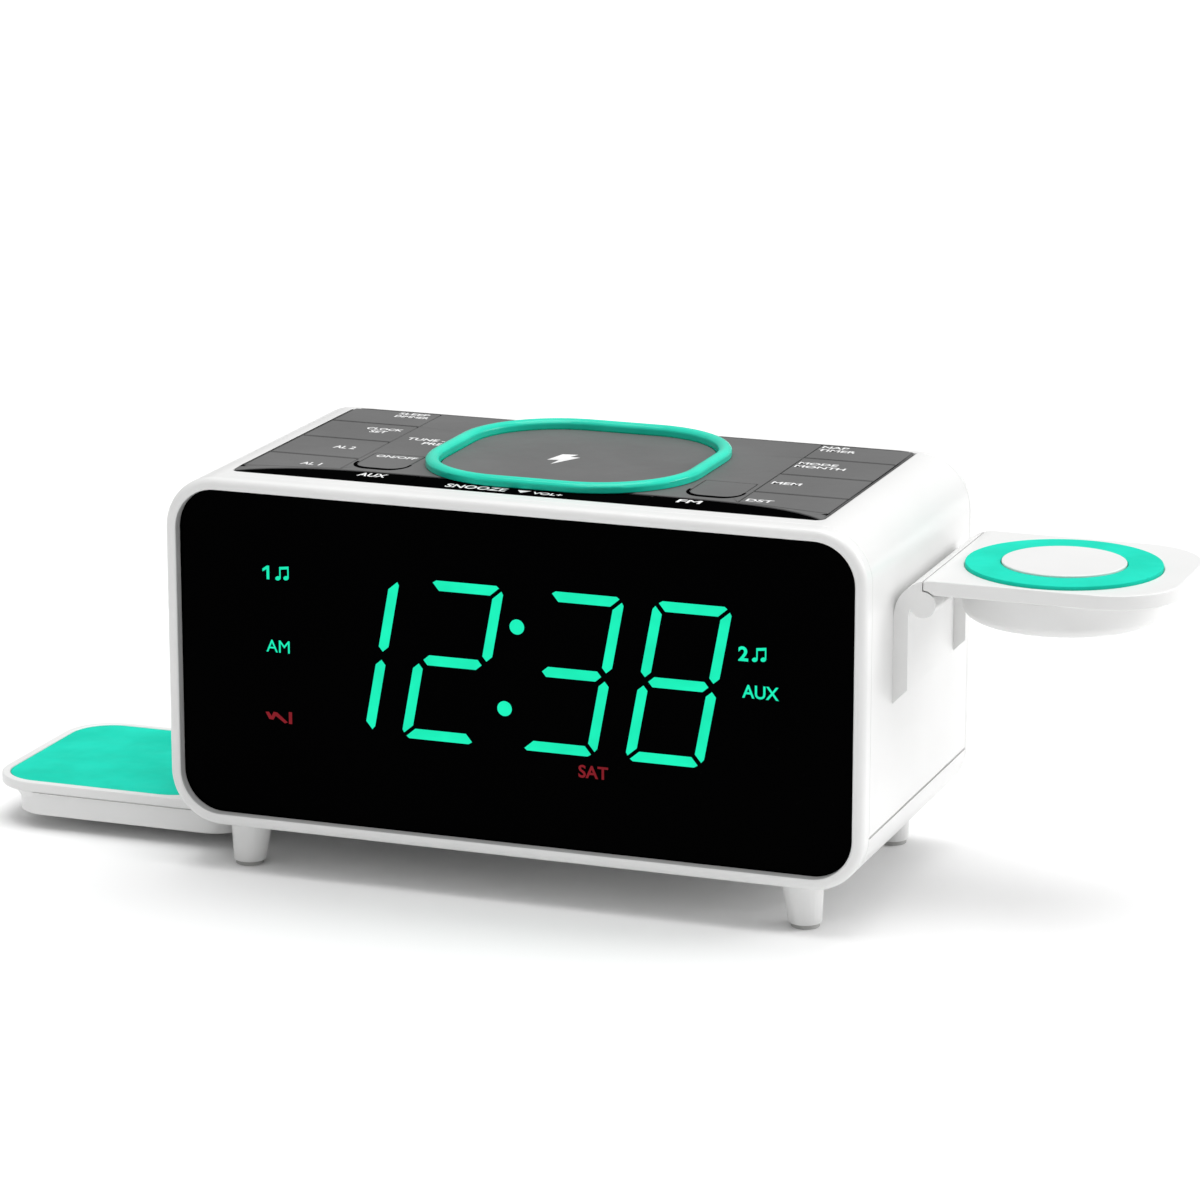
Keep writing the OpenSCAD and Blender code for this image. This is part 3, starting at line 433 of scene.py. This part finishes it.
def on_glass(u, v, h):
    """Point in front of the window: u across from the body's middle, v up from the floor, h out."""
    return Vector((MID_X + u * MM, GLASS_Y - (PRINT_GAP + h) * MM, v * MM))


def on_top(z):
    """Places on a level face at height z: u across from the body's middle, v back, h up."""
    return lambda u, v, h: Vector((MID_X + u * MM, v * MM, z + (PRINT_GAP + h) * MM))


TOP = on_top(KEY_Z)
LIP = on_top(LIP_Z)
PAD = on_top(PAD_Z)

# half a digit's width and half its height between the bars' centre lines, then the bars' own sizes
DIGIT_HALF = 8.05
DIGIT_MID = 54.95
DIGIT_RISE = 17.6
DIGIT_LEAN = 0.185
SEG_HALF = 1.18
SEG_GAP = 0.7
TIP_SHORT = 0.525
TIP_LONG = 1.275
POINT_GAP = 0.98


def sideways_bar():
    """Top bar of a digit, about its own centre line, outer edge up."""
    out = DIGIT_HALF + SEG_HALF - SEG_GAP
    into = DIGIT_HALF - SEG_HALF - SEG_GAP
    return [
        (-into, -SEG_HALF), (into, -SEG_HALF), (out - TIP_SHORT, SEG_HALF - TIP_SHORT),
        (out - TIP_LONG, SEG_HALF), (-out + TIP_LONG, SEG_HALF), (-out + TIP_SHORT, SEG_HALF - TIP_SHORT),
    ]


def middle_bar():
    """Middle bar of a digit, pointed at both ends."""
    tip = DIGIT_HALF - POINT_GAP
    return [
        (-tip, 0), (-tip + SEG_HALF, -SEG_HALF), (tip - SEG_HALF, -SEG_HALF),
        (tip, 0), (tip - SEG_HALF, SEG_HALF), (-tip + SEG_HALF, SEG_HALF),
    ]


def upright_bar():
    """Upper right bar: mitred at the top, pointed at the middle; u outward, v up from the middle."""
    top = DIGIT_RISE + SEG_HALF - SEG_GAP
    return [
        (0, POINT_GAP), (SEG_HALF, SEG_HALF + POINT_GAP), (SEG_HALF, top - TIP_LONG),
        (SEG_HALF - TIP_SHORT, top - TIP_SHORT), (-SEG_HALF, top - 2 * SEG_HALF),
        (-SEG_HALF, SEG_HALF + POINT_GAP),
    ]


def lean(points, x):
    """Points about a digit's middle, slanted and moved to x."""
    return [(x + u + v * DIGIT_LEAN, DIGIT_MID + v) for u, v in points]


def digit(number, x):
    """Lit bars of a digit whose middle is at x."""
    lit = {1: "bc", 2: "abged", 3: "abgcd", 8: "abcdefg"}[number]
    bars = {
        "a": [(u, DIGIT_RISE + v) for u, v in sideways_bar()],
        "d": [(u, -DIGIT_RISE - v) for u, v in sideways_bar()],
        "g": middle_bar(),
        "b": [(DIGIT_HALF + u, v) for u, v in upright_bar()],
        "c": [(DIGIT_HALF + u, -v) for u, v in upright_bar()],
        "f": [(-DIGIT_HALF - u, v) for u, v in upright_bar()],
        "e": [(-DIGIT_HALF - u, -v) for u, v in upright_bar()],
    }
    return [lean(bars[s], x) for s in lit]


def disc(x, y, r, n=32, squeeze=1.0, tilt=0.0):
    """Round or oval outline of n points."""
    c, s = math.cos(tilt), math.sin(tilt)
    turns = [2 * math.pi * i / n for i in range(n)]
    ring = [(r * math.cos(t), squeeze * r * math.sin(t)) for t in turns]
    return [(x + c * u - s * v, y + s * u + c * v) for u, v in ring]


def sign(name, outlines, slot="green_light"):
    """Lit mark on the window."""
    flat_mark(name, outlines, on_glass, LIGHT_T, slot, "radio")


TIME = ((1, -39.28), (2, -14.04), (3, 14.66), (8, 39.96))
for number, x in TIME:
    sign(f"Digit_{number}", digit(number, x))
DOT_R = 1.75
sign("Digit_colon", [disc(1.59, 64.67, DOT_R), disc(-1.47, 45.39, DOT_R)])

FONT_CAPITAL = 0.69
FONT_STEPS = 4
FONT_WELD = 1e-5


def lettering(name, words, place, x, y, height, stretch, bold, slot, body):
    """Words in the plain built-in font turned into a thin mesh; x, y is the lower left corner."""
    curve = bpy.data.curves.new(name, "FONT")
    curve.body = words
    curve.resolution_u = FONT_STEPS
    curve.offset = bold
    temp = bpy.data.objects.new(name + "_t", curve)
    bpy.context.scene.collection.objects.link(temp)
    bpy.context.view_layer.update()
    mesh = bpy.data.meshes.new_from_object(temp.evaluated_get(bpy.context.evaluated_depsgraph_get()))
    bpy.data.objects.remove(temp)
    bpy.data.curves.remove(curve)
    mesh.name = name
    scale = height / FONT_CAPITAL
    flat = bmesh.new()
    flat.from_mesh(mesh)
    bmesh.ops.remove_doubles(flat, verts=flat.verts, dist=FONT_WELD)
    flat.verts.index_update()
    spots = [(x + v.co.x * scale * stretch, y + v.co.y * scale) for v in flat.verts]
    bm = bmesh.new()
    low = [bm.verts.new(place(u, v, 0)) for u, v in spots]
    high = [bm.verts.new(place(u, v, PRINT_T)) for u, v in spots]
    for face in flat.faces:
        corners = [v.index for v in face.verts]
        bm.faces.new([high[i] for i in corners])
        bm.faces.new([low[i] for i in reversed(corners)])
        for corner in face.loops:
            if corner.edge.is_boundary:
                i, j = corner.vert.index, corner.link_loop_next.vert.index
                bm.faces.new((low[i], low[j], high[j], high[i]))
    flat.free()
    bm.to_mesh(mesh)
    bm.free()
    return link(name, mesh, slot, body)


def post(x, low, high, width):
    """Upright bar with its right side at x."""
    return [(x - width, low), (x, low), (x, high), (x - width, high)]


def note(x, z, h):
    """Pair of music notes under one beam, standing on z, h high."""
    head = h * 0.19
    stem = h * 0.09
    left = x + head * 2
    right = x + h * 0.95
    return [
        disc(left - head, z + head * 0.8, head, 20, 0.75, 0.3),
        disc(right - head, z + head * 1.1, head, 20, 0.75, 0.3),
        post(left, z + head, z + h * 0.86, stem),
        post(right, z + head * 1.2, z + h * 0.94, stem),
        [(left - stem, z + h * 0.74), (right, z + h * 0.82), (right, z + h), (left - stem, z + h * 0.92)],
    ]


NOTE_H = 3.5
ONE = [
    (-59.55, 70.4), (-58.9, 70.4), (-58.9, 73.6), (-59.45, 73.6),
    (-60.55, 72.8), (-60.55, 72.15), (-59.55, 72.75),
]
ALARM_WAVE = [
    (-60.4, 38.9), (-59.6, 39.0), (-58.9, 38.0), (-58.4, 39.1), (-57.5, 39.0),
    (-54.9, 36.9), (-55.6, 36.6), (-57.9, 38.2), (-58.5, 37.2), (-59.5, 37.3),
]
sign("Sign_alarm_one", [ONE])
sign("Sign_note_one", note(-57.4, 70.3, NOTE_H))
sign("Sign_note_two", note(57.1, 61.8, NOTE_H))
sign("Sign_alarm_off", [ALARM_WAVE, post(-53.8, 36.6, 39.4, 0.8)], "red_light")

# name, words, left end, foot, height of a capital, stretch, boldness, slot
WORD_SIGNS = [
    ("Sign_morning", "AM", -59.9, 53.3, 2.9, 1.0, 0.0, "green_light"),
    ("Sign_day", "SAT", 16.2, 31.2, 2.8, 1.02, 0.02, "red_light"),
    ("Sign_alarm_two", "2", 53.9, 61.9, 3.1, 1.05, 0.03, "green_light"),
    ("Sign_source", "AUX", 55.0, 53.5, 2.9, 0.95, 0.015, "green_light"),
]
for name, words, x, y, height, stretch, bold, slot in WORD_SIGNS:
    lettering(name, words, on_glass, x, y, height, stretch, bold, slot, "radio")

# name, words, face, left end, foot, height of a capital, stretch, body
LABELS = [
    ("Label_sleep", "SLEEP", TOP, -58.0, 35.8, 1.9, 1.15, "key_sleep_cap"),
    ("Label_dimmer", "DIMMER", TOP, -58.0, 32.8, 1.9, 0.86, "key_sleep_cap"),
    ("Label_clock", "CLOCK", TOP, -59.0, 18.0, 2.0, 0.92, "key_clock_cap"),
    ("Label_set", "SET", TOP, -57.0, 15.0, 2.0, 0.95, "key_clock_cap"),
    ("Label_two", "AL 2", TOP, -58.2, -3.4, 2.4, 0.78, "key_alarm_two_cap"),
    ("Label_one", "AL 1", TOP, -58.5, -21.8, 2.4, 0.78, "key_alarm_one_cap"),
    ("Label_tune", "TUNE -", TOP, -45.5, 10.6, 2.2, 0.95, "radio"),
    ("Label_pre", "PRE", TOP, -40.4, 7.0, 2.2, 1.0, "radio"),
    ("Label_on", "ON/OFF", TOP, -45.3, -8.8, 2.0, 0.96, "key_source_cap"),
    ("Label_source", "AUX", LIP, -42.0, -27.2, 3.0, 0.72, "radio"),
    ("Label_band", "FM", LIP, 34.6, -27.0, 2.8, 1.2, "radio"),
    ("Label_snooze", "SNOOZE", LIP, -19.3, -30.6, 2.9, 0.87, "key_snooze_cap"),
    ("Label_volume", "VOL+", LIP, 1.9, -30.6, 1.9, 1.04, "key_snooze_cap"),
    ("Label_nap", "NAP", TOP, 48.8, 35.6, 2.0, 1.15, "key_nap_cap"),
    ("Label_timer", "TIMER", TOP, 48.8, 32.4, 2.0, 1.15, "key_nap_cap"),
    ("Label_mode", "MODE", TOP, 48.8, 17.8, 2.0, 1.15, "key_mode_cap"),
    ("Label_month", "MONTH", TOP, 48.8, 14.6, 2.0, 1.15, "key_mode_cap"),
    ("Label_memory", "MEM", TOP, 49.2, -3.4, 2.2, 1.1, "key_memory_cap"),
    ("Label_count", "DST", TOP, 49.2, -21.6, 2.2, 1.1, "key_timer_cap"),
]
LABEL_BOLD = 0.02
for name, words, face, x, y, height, stretch, body in LABELS:
    lettering(name, words, face, x, y, height, stretch, LABEL_BOLD, "white_print", body)

BOLT = [(-6.7, 1.9), (-5.3, 8.4), (-1.7, 9.0), (-2.7, 6.4), (-0.3, 6.4), (-4.4, -1.9), (-4.0, 2.6)]
ARROW = [(-2.2, -28.3), (1.0, -28.3), (-0.8, -30.5)]
flat_mark("Mark_bolt", [BOLT], PAD, PRINT_T, "white_print", "radio")
flat_mark("Mark_arrow", [ARROW], LIP, PRINT_T, "white_print", "key_snooze_cap")

# painted shadow: a dark band laid flat on the panel round the front end of a tongue-shaped key, standing for
# the shade in the gap there
KEY_CORNER = 4.0
CORNER_STEPS = 8
SHADOW_BAND_GAP = 0.1
SHADOW_BAND_SIDE = 0.7
SHADOW_BAND_FRONT = 1.7
SHADOW_BAND_RISE = 5.0


def front_end(left, right, front, side, ahead):
    """Rounded front end that stands off a key by side and ahead, from its left side round to its right."""
    points = [(left - side, front + SHADOW_BAND_RISE)]
    for middle, start in ((left + KEY_CORNER, 180), (right - KEY_CORNER, 270)):
        for i in range(CORNER_STEPS + 1):
            a = math.radians(start + 90 * i / CORNER_STEPS)
            u = middle + (KEY_CORNER + side) * math.cos(a)
            v = front + KEY_CORNER + (KEY_CORNER + ahead) * math.sin(a)
            points.append((u, v))
    points.append((right + side, front + SHADOW_BAND_RISE))
    return points


for name, key in (("Relief_source", "key_source"), ("Relief_band", "key_band")):
    lo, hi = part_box(key)
    left, right, front = (lo.x - MID_X) / MM, (hi.x - MID_X) / MM, lo.y / MM
    near = front_end(left, right, front, SHADOW_BAND_GAP, SHADOW_BAND_GAP)
    far = front_end(left, right, front, SHADOW_BAND_SIDE, SHADOW_BAND_FRONT)
    flat_mark(name, [near + far[::-1]], TOP, SHADOW_BAND_T, "black_lip", "radio")

# ---------------------------------------------------------------- floor, light and camera
FLOOR_HALF = 6.0
FLOOR_CELLS = 8
FLOOR_PATCH = 800.0
floor_mesh = bpy.data.meshes.new("Floor")
floor_bm = bmesh.new()
bmesh.ops.create_grid(floor_bm, x_segments=FLOOR_CELLS, y_segments=FLOOR_CELLS, size=FLOOR_HALF)
floor_bm.to_mesh(floor_mesh)
floor_bm.free()
floor = bpy.data.objects.new("Floor", floor_mesh)
bpy.context.scene.collection.objects.link(floor)
floor_mat, floor_tree, floor_shader = new_material("Pale_floor")
floor_shade = ramp(floor_tree, noise(floor_tree, FLOOR_PATCH), (0.92, 0.92, 0.92), (0.94, 0.94, 0.94))
floor_tree.links.new(floor_shade, floor_shader.inputs["Base Color"])
floor_shader.inputs["Roughness"].default_value = 0.9
floor_shader.inputs["Specular IOR Level"].default_value = 0.1
floor_mesh.materials.append(floor_mat)

# white room, dim near the horizon and bright overhead
world = bpy.data.worlds.new("Studio")
bpy.context.scene.world = world
world.use_nodes = True
sky = world.node_tree
sky_coords = sky.nodes.new("ShaderNodeTexCoord")
sky_axes = sky.nodes.new("ShaderNodeSeparateXYZ")
sky.links.new(sky_coords.outputs["Generated"], sky_axes.inputs["Vector"])
sky_power = spread(sky, sky_axes.outputs["Z"], low=0.3, high=0.62, start=0.05, end=0.7)
sky.links.new(sky_power, sky.nodes["Background"].inputs["Strength"])
sky.nodes["Background"].inputs["Color"].default_value = (1.0, 1.0, 1.0, 1)

LIGHT_AIM = Vector((0.0, 0.0, 0.05))


def softbox(name, place, width, height, power):
    """Rectangular light aimed at the middle of the body."""
    light = bpy.data.lights.new(name, "AREA")
    light.shape = "RECTANGLE"
    light.size = width
    light.size_y = height
    light.energy = power
    obj = bpy.data.objects.new(name, light)
    bpy.context.scene.collection.objects.link(obj)
    obj.location = place
    obj.rotation_euler = (LIGHT_AIM - Vector(place)).to_track_quat("-Z", "Y").to_euler()


softbox("Top_light", (0.3, 0.2, 5.0), 4.0, 4.0, 190.0)
softbox("Side_light", (2.3, 1.1, 1.1), 1.6, 1.2, 30.0)

# in front of the body, right of it and above, in millimetres and degrees
CAMERA_AT = (379.97, -1010.76, 339.26)
CAMERA_YAW = 20.254
CAMERA_PITCH = 14.434
CAMERA_LENS = 144.38
camera_data = bpy.data.cameras.new("Camera")
camera_data.lens = CAMERA_LENS
camera_data.sensor_width = 36.0
camera = bpy.data.objects.new("Camera", camera_data)
bpy.context.scene.collection.objects.link(camera)
camera.location = (MID_X + CAMERA_AT[0] * MM, CAMERA_AT[1] * MM, CAMERA_AT[2] * MM)
camera.rotation_euler = (math.radians(90 - CAMERA_PITCH), 0.0, math.radians(CAMERA_YAW))
bpy.context.scene.camera = camera
bpy.context.scene.view_settings.view_transform = "Standard"
